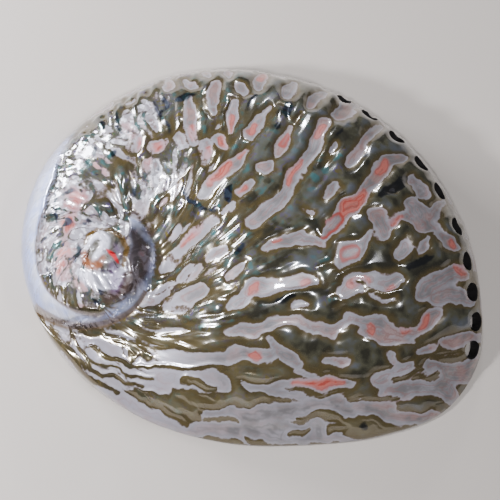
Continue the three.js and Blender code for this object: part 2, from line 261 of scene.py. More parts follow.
# Noises along the ribs: grain across and along them in mm, seed, and the height and offset of the level
ribGrain = {
    "islandEdge": (2.6, 5.5, 15, 0.55, -0.35), "leftovers": (2.2, 4.6, 40, 2.0, -0.7),
    "hiddenIslands": (3.4, 8.0, 50, 2.2, -0.15), "flecks": (1.8, 3.4, 60, 1.7, -0.4),
    "cracks": (4.0, 8.0, 75, 1.8, 0), "darkFlecks": (1.4, 2.6, 70, 1.5, -0.85),
    "streak": (1.0, 5.0, 80, 1, 0), "tone": (5.0, 14.0, 90, 1, 0),
    "swell": (7.0, 24.0, 20, 1, 1), "ripple": (3.2, 16.0, 30, 1, 1), "fleckRipple": (1.6, 2.7, 34, 1, 1),
}
# How far edges wander in mm, over what distance, and seed
edgeWander = {"x": [(0.9, 4.2, 11), (0.35, 1.5, 12)], "y": [(0.9, 4.2, 13), (0.35, 1.5, 14)]}

# What grinding left of the pale outer layer: islands between the ridges, each a width and the
# points of its middle line in mm. Cuts are where a ridge crosses the pale lip as a narrow line.
# The last groups are zones and the marks on the spire's cap.
markings = {
    "islands": [
        # above the spire, towards the pores
        (5, (-31, 45), (-28.5, 36.5)), (3, (-27.5, 34.8), (-27, 33.5)), (4.2, (-35.5, 36), (-33, 29), (-29.5, 22)),
        (5.2, (-23.5, 46.2), (-21.3, 44.5)), (4.6, (-17.5, 56), (-17.6, 48.5)), (4.5, (-8.5, 54), (-8, 47.5)),
        (4.5, (1.5, 54.5), (0.6, 47.2)), (4, (-22, 39.5), (-21, 35), (-19.3, 28)), (3.6, (-29.5, 53), (-28, 49.5)),
        (2.4, (-10.8, 41), (-12, 36)), (4.8, (-12, 36), (-13, 28.5)), (4, (-2, 35.5), (-3, 25.5)),
        (7, (11.5, 54), (10.3, 46.5)), (4.4, (6.8, 42.5), (7, 31), (4.5, 22)), (5.4, (4.5, 22), (3.6, 12)),
        (5.6, (3, 12), (-0.5, 5), (-3, 1)), (2.4, (12.8, 35), (12.3, 31.8)), (2.4, (10.6, 10.8), (13, 10.4)),
        (3.7, (22.5, 50), (20, 41), (18, 30)), (3.4, (17.3, 21), (15, 16.5)), (4.2, (-39.6, 43.5), (-37, 41)),
        (3.4, (-36, 50), (-34.4, 47.4)), (4, (-46.6, 42), (-43.4, 38.6)), (3.6, (-22.6, 59.4), (-20.8, 56.6)),
        (3, (-12, 60), (-12.6, 57)), (3.6, (-34.4, 22), (-31.4, 19.6)),
        # the middle of the dome
        (5, (33, 41.5), (28.5, 37.5), (27.5, 30), (25.5, 23)), (5.8, (25.5, 22), (21.5, 12), (20, 4)),
        (4.8, (18.5, 1.2), (13, 0.8), (8, -1.8), (3.8, -5.6)), (6.8, (30, 5), (25.6, -0.6)),
        (3.4, (31.2, 11), (30.6, 6)), (6, (38.6, 34), (43.4, 31.4)), (8, (41.6, 25.6), (45.6, 22)),
        (3.8, (49, 32.5), (47, 24)), (5, (33, 19.4), (33.6, 13)), (2.8, (37.4, 21), (36.2, 15.6)),
        (4.6, (-23, 25), (-20.5, 23)), (5.2, (-25.5, 22), (-24, 16.5)), (4.6, (-12.5, 23), (-13.5, 18), (-16, 14)),
        (4.8, (-16.5, 14.5), (-19, 9.5), (-20, 5.5)), (4.8, (-3, 20.6), (-7.2, 18.8)), (4, (-7.5, 12.6), (-9.3, 8)),
        (4.8, (-38.5, 19.5), (-40.5, 15.5)), (4.4, (-38, 13), (-35.8, 5)), (4.4, (-39.5, 12.5), (-41.3, 9)),
        (3.2, (-31.5, 3.4), (-32.5, 1)), (4.8, (-14.2, -0.8), (-18, -4.5), (-20.5, -9)),
        (5.2, (-21, -9.5), (-25.5, -16.5)), (4.6, (-8.8, -8.4), (-12.3, -11.6)), (6, (-14.8, -14.8), (-18.6, -19)),
        (3.8, (-1.6, -12.8), (-4, -16.8)), (4.4, (21.2, -10.2), (15.6, -11.4), (12, -14.2)),
        (5.4, (11, -14.8), (4.6, -17.6), (3.4, -20)), (3.2, (17.2, -18.6), (21.4, -17.2)),
        (7, (37, -2.6), (31.6, -6.4), (29.6, -9.4)), (5, (39, -2.6), (42, -0.6), (44.6, 1.4)),
        (3.2, (38, -7.4), (45.2, -4.9)), (5, (24, -23.4), (30, -21.4), (34, -16.6)),
        (5.2, (33.4, -16), (43.4, -12.8), (50, -13.3), (54.7, -9.7)), (4.4, (39, -16.4), (46, -15.2)),
        # the right end, by the growing lip
        (5.4, (54.7, -9.7), (56.4, -6.2), (58.8, -1.3)), (3.6, (38, -17.6), (49.7, -15.8), (54.7, -13)),
        (6, (62, 13), (58.5, 9.5), (54.5, 5), (52.3, 0.6)), (5.6, (56.3, 1.2), (59.7, 3.7), (63, 6.2), (69, 7.4)),
        (5.2, (39, 21), (46, 20.5), (49, 22)), (5.8, (51.2, 20.4), (56.4, 19)), (4.4, (48.4, 17), (47.6, 12.6)),
        (4.4, (43.5, 12), (42, 8)), (4.4, (63, -9.3), (67.2, -5.5), (73.5, -1.6)),
        (3.4, (56.8, -16.2), (60.6, -11.2)), (9, (62.7, -17), (75.5, -9.5)),
        (5, (46.7, -28.3), (51.7, -25.4), (55.5, -20.5)), (3.4, (49.2, -20), (51.4, -22.4)),
        (9, (52, -30), (62, -23), (70, -20.5)), (6.6, (46.5, -35), (57, -34.6), (64, -30)),
        (5.4, (38, -38.6), (45.5, -37), (51.7, -34)), (3, (38, -46.7), (47, -44.8), (58, -39)),
        (4, (62, -33), (70, -26)),
        (5.2, (40, -36.6), (34, -39.6), (24.7, -44.9), (14.7, -49.8), (2.2, -53.4)),
        (6.4, (40, -43.6), (29.7, -49), (14.7, -53.2), (0.5, -57.4)), (3.4, (18.8, -40.8), (21.3, -39.6)),
        (3.8, (30.5, -29.6), (37, -27)), (4.6, (1.7, -32), (10.5, -27), (14.7, -23.7), (19.7, -21.7), (24.7, -23.2)),
        (5, (13.8, -29.6), (19.7, -31.7), (24.5, -32.4)), (4.6, (14.7, -33.4), (4.3, -36.6), (0.5, -38.7)),
        (4.4, (3.4, -21.4), (-0.8, -24.4)), (3.6, (41, -31.6), (31, -35.4), (21, -38.8)),
        (2.4, (10, -42.6), (20, -42.4), (28, -39.6)), (3, (24, -34.6), (30, -33.4)), (7, (31.5, 17.6), (36, 12.4)),
        (6.4, (39.6, 26.6), (44, 24)), (2.2, (33.4, 28.6), (32.4, 27)),
        # below the spire, where thin ridges run almost along the rim
        (7.4, (-11.8, -22), (-16, -25.6), (-20, -28)), (5.2, (-21.5, -21.5), (-25, -25.5), (-28.6, -28)),
        (3.2, (-40, -38.4), (-33.5, -38), (-27, -38.6)), (9, (-57, -42), (-46, -45.6), (-30, -46)),
        (6, (2, -38.8), (-10, -41.8), (-22, -44.6)), (7, (4, -44.6), (-12, -47), (-30, -48.6)),
        (5, (-40, -51), (-28, -53), (-12, -50.6)), (5, (-52, -49.4), (-36, -55.4), (-16, -59), (2, -58.2)),
        # left of the spire
        (5.6, (-51, 21.6), (-48, 17.6), (-46, 14.6)), (3.4, (-53.5, 16.4), (-50.5, 16.6)),
        (3, (-53.6, 6), (-52.6, 5.4)),
        (2.8, (-46.8, 28.4), (-42, 22.6)), (2.6, (-54.4, 28), (-51, 23.6)), (2.2, (-50, 32.6), (-44, 28.4)),
        (4.4, (-60.4, -6.8), (-56.4, -5), (-55.4, -2.6)), (5, (-57.4, -12.6), (-56.4, -16)),
        (5, (-56, -23), (-54, -28)),
    ],
    "cuts": [
        (3.6, (56.3, -30.4), (61.3, -28.3), (67, -25.6), (70.5, -25.8)),
        (3.2, (38, -44.4), (45.5, -40.2), (52, -37.8), (59.7, -36.7), (64.7, -34.4)),
        (2.2, (61.3, -14.7), (68, -11), (72.6, -6.8)), (2.6, (58, -10.5), (63, -3), (69.7, -0.5)),
        (1, (28.4, -45.4), (32.5, -43), (37.2, -41.7)), (1.8, (27.2, -50), (32.2, -47.5)),
        (1.6, (15, -55), (21, -54.6)), (1.4, (60, -19.4), (52, -26)), (1.2, (65, -18), (58, -23)),
        (1.2, (46, -33.4), (55, -29)), (1, (2, -54.6), (12, -52.2)),
        (1.6, (-62, -38), (-56, -43), (-50, -47), (-42, -51.5), (-35, -54.5), (-27, -56)),
        (1.3, (-55, -41.5), (-50, -46), (-44, -49), (-38, -51.5)),
        (1.4, (-48, -42), (-44, -46), (-39, -49), (-36, -51.5), (-32, -52.5), (-25, -52), (-20, -52)),
        (2.4, (-42, -40.8), (-36, -41), (-29, -40.2), (-25, -41.8), (-20, -43.5)),
        (1.8, (-40, -45), (-33, -46.5), (-26, -46.5)),
        (1.1, (-26, -46.5), (-18, -46), (-10, -44.5), (0, -41.5), (8, -38.5)),
        (3, (-30, -36), (-20, -37), (-12, -35.5), (-5, -33)), (2.2, (-22, -54), (-10, -54), (0, -53)),
        (1.8, (-12, -56.4), (-3, -56.8)), (0.9, (-38, -49), (-28, -49.5), (-18, -49.5)), (2.4, (-9, -47.6), (2, -46.4)),
        (3.4, (-35, -36), (-28, -33), (-20, -31.5), (-13, -31.5)), (1.4, (33, -5), (40, -5.6), (46, -3.4)),
    ],
    "coral": [
        (2.6, (-17.5, 56), (-17.6, 52)), (1.8, (-30.8, 26.5), (-30, 23.5)), (1.6, (-21, 33), (-19.5, 28)),
        (1.6, (-12.5, 33), (-13, 29.5)), (1.8, (7, 40), (7, 36)), (1.6, (4.2, 25), (3.2, 19), (3.8, 16.5)),
        (2.8, (26, 22), (23, 17), (21.4, 13)), (2, (-23.8, 20.5), (-24, 17.5)), (2.2, (-21.2, 24.4), (-20, 23)),
        (1.8, (-13.3, 23.6), (-13.5, 21)), (2.4, (-15.5, 17), (-19.3, 10.5)),
        (2, (-18.2, -3.5), (-20, -6), (-21.5, -9)),
        (2.2, (-56.8, -3), (-56.8, -4.5)), (3.4, (-60.5, -6.8), (-57.5, -7)), (1.8, (-53.5, 6.2), (-52.8, 5.5)),
        (1.8, (-45.8, 18), (-44, 14.8)), (1.8, (51.7, -10.2), (50.8, -11.6)), (1.8, (41, -15), (42, -16)),
        (2, (61, 13.6), (60.3, 12.8)), (1.8, (55, 19.8), (55.8, 18.6)), (1.4, (5.4, -17), (4.6, -19.6)),
        (1.4, (19.5, -10.8), (17.5, -11.2)), (1.4, (12, -35), (9, -35.4)), (2.2, (36, -3.4), (30.6, -6.4)),
        (2.6, (-54.4, -25), (-53, -29)), (1.6, (6.4, -1.6), (5.4, -3)), (1.6, (43, -1.6), (42, -3)),
        (2, (-38.4, 19), (-40, 16)), (2, (-40, 12), (-41, 10)), (1.6, (-31.3, 3), (-32, 1.6)),
        (2, (-48, -37.6), (-40, -37.2)), (1.4, (28.6, 37), (27.4, 31)), (1.8, (38, -32.4), (31, -35.4), (25, -37.6)),
        (1.2, (-8.6, 10.4), (-9.2, 8.6)), (1.4, (37.6, 20), (36.8, 17)), (1.6, (-52, 22), (-49, 18.6)),
        (1.4, (56, -5), (55, -8)), (2.4, (-57.2, -12), (-57, -15)),
    ],
    "ring": [
        (4.2, (20.6, 10.4), (19, 4.6)), (4, (28.6, 2.8), (26.4, 0.6)), (1.8, (-2.2, 32.6), (-2.8, 28.4)),
    ],
    "darkPools": [
        (3.4, (-6, 45), (-4.6, 39.4)), (2, (-7, 36), (-6.4, 33.6)), (1.6, (-17, 44.5), (-17.5, 38)),
        (2.6, (-40, 34), (-34.6, 38)), (1.4, (12, 42), (12.5, 38)), (1.4, (22.3, 37.5), (21, 34)),
        (3.6, (36, 34), (30.5, 24)), (1.8, (-27.6, 6.8), (-24, 3.6), (-19, 1.8), (-15, 1.8)),
        (2.6, (-12.6, 10), (-11.6, 5.6)),
        (1.6, (-2.6, -6), (-4, -10)), (2.2, (-58.4, 13.4), (-58.6, 9.4)), (2, (-51.4, 13.2), (-51.6, 10.6)),
        (1.6, (-53, 20), (-57, 27)), (1.2, (-46.6, 11.6), (-47, 10.4)), (2.6, (51.6, 12), (46, 6)),
        (1.2, (-48, 32.6), (-38, 23)), (1.6, (-61, 22), (-58.6, 19)), (1.6, (-52.4, -19), (-51.4, -24)),
        (1.4, (-66, -3), (-64.6, -8), (-61.4, -14)), (1.2, (-59.6, -28), (-56.4, -32)), (1.6, (-42, -33), (-39, -34.4)),
        (1.4, (46, -40.8), (48.6, -40)), (2, (12, -19), (17, -16.4)),
    ],
    # on the cap of the spire
    "gold": [
        (1.5, (-36.8, -21), (-37.6, -15.6), (-40.6, -12.6), (-44.6, -11.6), (-48.6, -12.6), (-50.6, -15.4),
         (-50.4, -18)),
    ],
    "rust": [(2.9, (-49.8, -20.6), (-48.6, -23.2), (-46.2, -24.4), (-43.8, -23.2), (-43.2, -21))],
    "swirl": [
        (2.2, (-49.4, -19), (-48.8, -16), (-46.8, -14.2), (-44.4, -15.6), (-44, -18.4), (-45.4, -22)),
    ],
    "striae": [(5.4, (-49, -27), (-43.4, -28.6), (-38.2, -26.4), (-36.6, -22))],
    "violet": [(3.8, (-40, -22), (-38, -24.8), (-36.8, -28.6)), (1.6, (-41, -16), (-38.6, -18.4))],
    # a painted crimson glint on the cap
    "crimson": [(1.3, (-43.2, -18.4), (-40.6, -19.2), (-38.4, -20.8))],
    # painted shade: the steep wall right of the cap, down to the seam, is coloured dark
    "grooveShade": [(8, (-38, -9.6), (-34, -13), (-32.8, -19), (-33.8, -26), (-38, -32)), (2, (-35.6, -7.6), (-31.6, -7.6))],
    # a pink tone between the flecks beside the cap
    "pink": [
        (5, (-60.5, -4), (-55, -6)), (4.4, (-57.6, -10), (-58, -16)), (6, (-57, -20), (-54, -28)),
        (2, (-57, -34), (-50, -38), (-42, -38.4), (-37.6, -36)), (5, (-57, 6), (-52, 9)), (4, (-50, -30), (-44, -31)),
    ],
    # silvery nacre away from the spire, partly a painted glow where highlights fall
    "silverAndGlowPlaces": [
        (12, (0, -36), (16, -41)), (12, (-52, -42), (-18, -50)), (8, (-4, -50), (4, -51)), (9, (14, 30), (10, 22)),
        (8, (-8, 44), (-2, 40)), (7, (22, -4), (30, -12)),
    ],
    # where the shell is covered in small flecks
    "fleckedPlaces": [
        (15, (-61, -24), (-62, -8), (-60, 6)), (10, (-58, 14), (-50, 24), (-44, 32)), (30, (-46, -20), (-45, -20)),
        (9, (-40, 4), (-34, 10)), (7, (-34, 16), (-28, 4)),
    ],
}


def strokeLevel(strokes, x, y, blend, taper=0.0):
    # height in mm over the edge of the nearest stroke: half its width less the distance to its middle
    # line. The taper is the part of the width that its ends lose, as the square of the way from the
    # middle. Strokes run into each other over about the blend distance.
    total = np.full(x.shape, np.exp(-6.0 / blend))
    for width, *points in strokes:
        run = np.concatenate([[0], np.cumsum(np.hypot(*np.diff(np.array(points, float), axis=0).T))])
        level = np.full(x.shape, -1e9)
        for (x1, y1), (x2, y2), start, end in zip(points[:-1], points[1:], run[:-1], run[1:]):
            dx, dy = x2 - x1, y2 - y1
            t = np.clip(((x - x1) * dx + (y - y1) * dy) / (dx * dx + dy * dy), 0, 1)
            way = 2 * (start + t * (end - start)) / run[-1] - 1
            level = np.maximum(level, width / 2 * (1 - taper * way**2) - np.hypot(x - x1 - t * dx, y - y1 - t * dy))
        total += np.exp(np.clip(level, -12, 12) / blend)
    return np.log(total) * blend


# Levels that are plain strokes: over how many mm they run together, how much their ends taper, and
# whether their edges wander
strokeForm = {
    "coral": (0.3, 0.3, True), "ring": (0.2, 0.0, True), "pink": (0.5, 0.4, True), "gold": (0.2, 0.4, False),
    "rust": (0.3, 0.3, False), "swirl": (0.5, 0.4, False), "striae": (0.5, 0.6, False), "violet": (0.5, 0.6, False),
    "crimson": (0.2, 0.7, False), "grooveShade": (0.6, 0.6, False),
}
# The smooth band round the spire, by turn: the distance from the apex at which the flecked top gives
# way to it, and how soft that edge is. Between -110 and -81 there is no band.
bandForm = {
    "inner": [(-219, 19.8), (-200, 20.2), (-180, 21), (-160, 22.9), (-142, 28.4), (-128, 38.6), (-115, 60),
              (-110, 200), (-81, 200), (-78, 15), (-64, 13), (-46, 10), (-20, 9.5), (0, 9.4), (12, 11.4), (30, 15.2),
              (50, 17.9), (70, 20.2), (90, 20.4), (120, 20), (141, 19.8)],
    "softness": [(-134, 0.9), (-122, 18), (-112, 18), (-100, 0.9)],
}
# Where each zone starts, and over how much it grows to 1
zones = {
    "plain": (27, 42), "flecksEnd": (18, 12), "whiteNear": (14, 22),          # mm from the apex
    "lower": (27, 14), "whiteLow": (32, 12), "whiteLeft": (-12, 34),          # mm towards -Y or -X
    # the outermost zone here is where the band gets painted shade, bluer and darker at the rim
    "wall": (0.84, 0.1), "hiddenWall": (0.925, 0.03), "rimShade": (0.93, 0.06),  # part of the way to the rim
    "hiddenBearing": (-8, 10), "cracked": (0.76, 0.2), "capEnd": (0.85, 0.3),
    "valleySide": (-3.0, 3.8), "swirlSide": (-1.4, 2.4), "besideBand": (-2.2, 2.2), "insideRim": (0, 0.06),
}
# Depths ground away in mm; the ripples grow in silvery and in flecked places
reliefDepth = {
    "valley": 0.95, "lessWhereFlecked": 0.5, "swell": 0.14, "ripple": 0.02, "rippleSilver": 0.045,
    "rippleFlecked": 0.04, "flecks": 0.2, "striae": 0.35, "roundSwirl": 0.6,
}
# Further sizes of the markings: edges and gaps in mm, and parts from 0 to 1
markingForm = {
    "silverFlatness": 0.7, "silverAndGlowPlaces": 0.75, "placeBlend": 1.5, "silverEdge": 7, "fleckedEdge": 5,
    "islandBlend": 0.3, "islandTaper": 0.25, "leftoverGap": 1.3, "moreFlecks": 0.75, "crackHalf": 0.16,
    "cutBlend": 0.3, "cutTaper": 0.3, "cutMore": 0.1, "poolBlend": 0.4, "poolTaper": 0.5, "seamEdge": 1.2,
    "seamLine": 0.7, "bandLine": 0.3, "besideSeam": 1.4, "calmerRipple": 0.7, "wallTop": 26, "most": 4,
}
# What the material reads: the fields of surfaceFields that are kept as attributes
fieldNames = ("inlay", "pool", "lines", "streak", "tone", "band", "flecked", "silver", "whitest", "rimShade", "lower",
              "cap", *strokeForm)


def between(knots, at):  # straight lines from knot to knot
    return np.interp(at, *np.array(knots, float).T)


def zone(name, at):  # 0 before a zone, 1 where it is full, eased between
    start, width = zones[name]
    return ease((at - start) / width)


def ribLevel(name, x, y):  # the noise times its height, plus its offset
    grainAcross, grainAlong, seed, height, offset = ribGrain[name]
    return height * ribNoise(x, y, grainAcross, grainAlong, seed) + offset


def within(level, where, under):  # the level inside a zone, and this many mm under its edge outside the zone
    return level * where - under * (1 - where)


def across(level, width):  # 0 to 1 over an edge that is this many mm wide, a half where the level is nought
    return ease(level / width + 0.5)


def unrolled(x, y):
    # the plan with the steep side folded outwards, so that a pattern isn't drawn out down the wall
    bearing = np.degrees(np.arctan2(y - domeY, x - domeX))
    out = np.hypot(x - domeX, y - domeY) / rimFromDome(bearing)
    top = markingForm["wallTop"]
    drop = np.clip(top - whorlHeight(x, y), 0, top) * zone("wall", out) * farSide(bearing, "steepSide")
    return x + drop * np.cos(np.radians(bearing)), y + drop * np.sin(np.radians(bearing)), bearing, out


def surfaceFields(x, y):
    # the markings as smooth fields over the plan: mm over each edge, then zones from 0 to 1
    form = markingForm
    wx = x + sum(far * softNoise(x / size, y / size, seed) for far, size, seed in edgeWander["x"])
    wy = y + sum(far * softNoise(x / size, y / size, seed) for far, size, seed in edgeWander["y"])
    r, turn = polar(x, y)
    seam = seamAt(turn)
    inner = between(bandForm["inner"], turn)
    ux, uy, bearing, out = unrolled(x, y)
    places, fleckedPlaces = (strokeLevel(markings[name], wx, wy, form["placeBlend"])
                             for name in ("silverAndGlowPlaces", "fleckedPlaces"))
    # silvery nacre, partly painted light: lighter where more light falls near the spire, glow where highlights fall
    silver = 1 - zone("plain", np.hypot(x - apexX, form["silverFlatness"] * (y - apexY)))
    silver = np.maximum(silver, form["silverAndGlowPlaces"] * across(places, form["silverEdge"]))
    flecked = across(fleckedPlaces, form["fleckedEdge"])
    # islands as drawn, and small leftovers in the wide ridges near the spire; on the hidden wall all
    # follow the noise of the ribs
    drawn = strokeLevel(markings["islands"], wx, wy, form["islandBlend"], form["islandTaper"])
    drawn += ribLevel("islandEdge", x, y)
    small = np.minimum(ribLevel("leftovers", ux, uy), -drawn - form["leftoverGap"])
    inlay = np.maximum(drawn, within(small, silver, 3))
    hidden = zone("hiddenWall", out) * zone("hiddenBearing", bearing)
    inlay = inlay * (1 - hidden) + ribLevel("hiddenIslands", ux, uy) * hidden
    fine = ribLevel("flecks", wx, wy) + form["moreFlecks"] * (1 - zone("flecksEnd", r))
    inlay = np.maximum(inlay, within(fine, flecked, 4))
    cuts = strokeLevel(markings["cuts"], wx, wy, form["cutBlend"], form["cutTaper"])
    inlay = np.minimum(inlay, -cuts - form["cutMore"])
    # fine ridges split the islands near the spire, where the noise of the ribs crosses nought
    cracks = np.abs(ribLevel("cracks", wx, wy)) - form["crackHalf"]
    inlay = np.minimum(inlay, cracks + 4 * (1 - zone("cracked", silver)))
    # the band lies inside the seam where the spire is seen, and on the last whorl where it isn't
    inSeam = np.where(turn > -80, across(seam - r, form["seamEdge"]), 1.0)
    band = inSeam * across(r - inner, between(bandForm["softness"], turn))
    flecked = flecked * (1 - band) * np.where(turn > -60, inSeam, 1.0)
    # thin lines along both edges of the band, and none at -3 mm
    lines = np.maximum(np.where((turn > 20) & (turn < 128), form["seamLine"] - np.abs(r - seam), -3),
                       np.where((turn > 20) | (turn < -130), form["bandLine"] - np.abs(r - inner), -3))
    pool = strokeLevel(markings["darkPools"], wx, wy, form["poolBlend"], form["poolTaper"])
    pool = np.maximum(pool, within(ribLevel("darkFlecks", wx, wy), flecked, 3))
    levels = {"inlay": inlay, "pool": pool, "lines": lines,
              "streak": ribLevel("streak", ux, uy), "tone": ribLevel("tone", ux, uy)}
    for name, (blend, taper, wanders) in strokeForm.items():
        levels[name] = strokeLevel(markings[name], wx if wanders else x, wy if wanders else y, blend, taper)
    fields = {name: np.clip(level, -form["most"], form["most"]) for name, level in levels.items()}
    # zones: the smooth band, flecked places, silvery nacre that is partly painted light, the whitest islands,
    # the outermost edge where the band gets painted shade, the lower side, the spire's cap, and everything but
    # the seam and the edge of the band
    fields.update({
        "band": band, "flecked": flecked, "silver": silver, "rimShade": zone("rimShade", out), "lower": zone("lower", -y),
        "whitest": np.maximum(1 - zone("whiteNear", r), zone("whiteLow", -y) * zone("whiteLeft", -x)),
        "cap": 1 - zone("capEnd", r / tipRadius(turn)),
        "offSeam": (1 - inSeam * np.where(turn > -100, zone("besideBand", r - inner), 0))
        * np.where(turn > -80, 1 - np.exp(-((r - seam) / form["besideSeam"])**2), 1.0),
    })
    return fields


def relief(x, y, fields):
    # depth under the plain form in mm, as a sum: valleys under the pale islands between rounded ridges,
    # ripples along the ribs, and the ground round the white swirl on the cap. None on the band, at
    # the seam and at the rim.
    deep = reliefDepth
    ux, uy, bearing, out = unrolled(x, y)
    offCap = 1 - fields["cap"]
    valley = zone("valleySide", fields["inlay"]) * offCap
    depth = (deep["valley"] - deep["lessWhereFlecked"] * fields["flecked"]) * valley
    depth += deep["swell"] * ribLevel("swell", ux, uy)
    calmer = 1 - markingForm["calmerRipple"] * fields["lower"]
    ripple = (deep["ripple"] + deep["rippleSilver"] * fields["silver"]**2 * calmer
              + deep["rippleFlecked"] * fields["flecked"])
    depth += ripple * ribLevel("ripple", ux, uy)
    depth += deep["flecks"] * fields["flecked"] * offCap * ribLevel("fleckRipple", ux, uy)
    depth += deep["striae"] * across(fields["striae"], 1) * (1 + fields["streak"])
    depth += deep["roundSwirl"] * fields["flecked"] * (1 - zone("swirlSide", fields["swirl"]))
    return depth * (1 - fields["band"]) * fields["offSeam"] * zone("insideRim", 1 - out)


def squareToDisc(steps):
    # a square grid pressed into a disc: each square ring of the grid becomes a circle. Gives each
    # point's distance from the middle and how far round its ring it stands, both 0 to 1.
    line = np.linspace(-1, 1, steps + 1)
    a, b = np.meshgrid(line, line, indexing="ij")
    wide = np.abs(a) >= np.abs(b)
    angle = np.where(wide, b / np.where(a == 0, 1, a), 2 - a / np.where(b == 0, 1, b)) * np.pi / 4
    side = np.where(wide, a, b)
    turned = np.arctan2(side * np.sin(angle), side * np.cos(angle))
    return np.maximum(np.abs(a), np.abs(b)), (turned / (2 * np.pi)) % 1.0


def edgeLoop(steps):  # grid indices of the boundary, counter-clockwise from the +X side's middle
    n = steps + 1
    i = np.arange(steps)
    corners = [np.stack([np.full(steps, steps), i], 1), np.stack([steps - i, np.full(steps, steps)], 1),
               np.stack([np.zeros(steps, int), steps - i], 1), np.stack([i, np.zeros(steps, int)], 1)]
    loop = np.concatenate(corners)
    loop = np.roll(loop, -(steps // 2), axis=0)
    return loop[:, 0] * n + loop[:, 1]


def gridQuads(steps, offset):  # the cells of a square grid whose first point has the index offset
    n = steps + 1
    i, j = np.meshgrid(np.arange(steps), np.arange(steps), indexing="ij")
    a = (i * n + j).ravel() + offset
    return np.stack([a, a + n, a + n + 1, a + 1], 1)


def rimBearings(parts):  # bearing from the apex at each part of the way round; close together where the rim is far
    bearing = np.linspace(-180, 180, 3601)
    run = np.concatenate([[0], np.cumsum(rimFromApex((bearing[1:] + bearing[:-1]) / 2))])
    return np.interp(parts, run / run[-1], bearing)


def buildTop():
    # x, y = apex + part rim(bearing) at bearing + twist ln(part), where part = distance^density; z is the
    # whorl's height. The relief is then sunk along the surface's normal.
    rho, around = squareToDisc(shellForm["topSteps"])
    part = rho**shellForm["poleDensity"]
    atRim = rimBearings(around)
    bearing = np.radians(atRim) + shellForm["ribTwist"] * np.log(np.maximum(part, 0.1))
    rim = rimFromApex(atRim)
    r = part * rim
    # grid points that come within half a step of the seam are moved onto it
    seam = seamAt((-np.degrees(bearing) - firstTurn) % 360 + firstTurn)
    reach = rim * shellForm["poleDensity"] * rho**(shellForm["poleDensity"] - 1) / shellForm["topSteps"]
    r = np.where(np.abs(r - seam) < reach, seam, r)
    x, y = apexX + r * np.cos(bearing), apexY + r * np.sin(bearing)
    z = outerHeight(x, y)
    slopeX, slopeY = slopes(outerHeight, x, y, 0.25)
    length = np.sqrt(slopeX**2 + slopeY**2 + 1)
    depth = relief(x, y, surfaceFields(x, y))
    # raised rims round the pores: bells about a circle outside each pore, ending before the rim
    bearingDome = np.degrees(np.arctan2(y - domeY, x - domeX))
    inside = 1 - np.hypot(x - domeX, y - domeY) / rimFromDome(bearingDome)
    rimHeight, rimOut, rimWidth = shellForm["poreRim"]
    ring = np.zeros_like(x)
    for px, py, _ in zip(*porePlaces()):
        fromRim = np.hypot(x - px, y - py) - shellForm["poreRadius"] - rimOut
        ring += rimHeight * np.exp(-(fromRim / rimWidth)**2)
    lift = np.clip(ring * ease(inside / 0.03), 0, 1)
    x = x + depth * slopeX / length
    y = y + depth * slopeY / length
    z = z - depth / length + lift
    onRim = rho >= 1
    z = np.where(onRim, shellForm["rimBevel"], np.maximum(z, shellForm["rimBevel"] + 0.05))
    return np.stack([x.ravel(), y.ravel(), z.ravel()], 1)


def buildHollow(edgeBearing):
    # x, y = dome + distance innerRim(bearing), with the bearings of the rim's own points
    steps = shellForm["topSteps"] // 2
    rho, around = squareToDisc(steps)
    count = len(edgeBearing)
    unwrapped = np.unwrap(np.concatenate([edgeBearing, edgeBearing[:1]]), period=360)
    bearing = np.interp(around * count, np.arange(count + 1), unwrapped)
    wrapped = (bearing + 180) % 360 - 180
    r = rho * innerRim(wrapped)
    x = domeX + r * np.cos(np.radians(bearing))
    y = domeY + r * np.sin(np.radians(bearing))
    z = np.where(rho >= 1, 0, innerHeight(x, y))
    return np.stack([x.ravel(), y.ravel(), z.ravel()], 1)


def bridge(outer, inner):  # quads between two loops of equal length
    return np.stack([outer, inner, np.roll(inner, -1), np.roll(outer, -1)], 1)


def bridgeHalf(outer, inner):  # three triangles for each pair of outer edges and one inner edge
    a, b, c = outer[0::2], outer[1::2], np.roll(outer[0::2], -1)
    d, e = inner, np.roll(inner, -1)
    return np.concatenate([np.stack([a, d, b], 1), np.stack([b, d, e], 1), np.stack([b, e, c], 1)])


def buildShellMesh():
    # the top, a bevel from its rim down to the foot, a flat rim from there to the hollow, and the hollow. Faces
    # of kind 0 take the outside's material and of kind 1 the hollow's.
    steps = shellForm["topSteps"]
    top = buildTop()
    rim = edgeLoop(steps)
    rimX, rimY = top[rim, 0], top[rim, 1]
    scale = 1 - shellForm["footInset"] / np.hypot(rimX - domeX, rimY - domeY)
    foot = np.stack([domeX + (rimX - domeX) * scale, domeY + (rimY - domeY) * scale, np.zeros(len(rim))], 1)
    footBearing = np.degrees(np.arctan2(foot[:, 1] - domeY, foot[:, 0] - domeX))
    hollow = buildHollow(footBearing[0::2])
    footAt = len(top) + np.arange(len(rim))
    hollowAt = len(top) + len(foot)
    hollowRim = edgeLoop(steps // 2) + hollowAt
    points = np.concatenate([top, foot, hollow])
    quads = [gridQuads(steps, 0), gridQuads(steps // 2, hollowAt)[:, ::-1], bridge(rim, footAt)]
    tris = bridgeHalf(footAt, hollowRim)
    faces = [q for group in quads for q in group.tolist()] + tris.tolist()
    kinds = [0] * len(quads[0]) + [1] * len(quads[1]) + [0] * len(quads[2]) + [1] * len(tris)
    return points, faces, kinds


def toFrame(points):  # from the plan's own origin to the middle of the frame's box, in metres
    low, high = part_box("shell")
    shiftX = (low[0] + high[0]) / 2 / mm - (outlineX.min() + outlineX.max()) / 2
    shiftY = (low[1] + high[1]) / 2 / mm - (outlineY.min() + outlineY.max()) / 2
    return (points + np.array([shiftX, shiftY, 0])) * mm, (shiftX, shiftY)


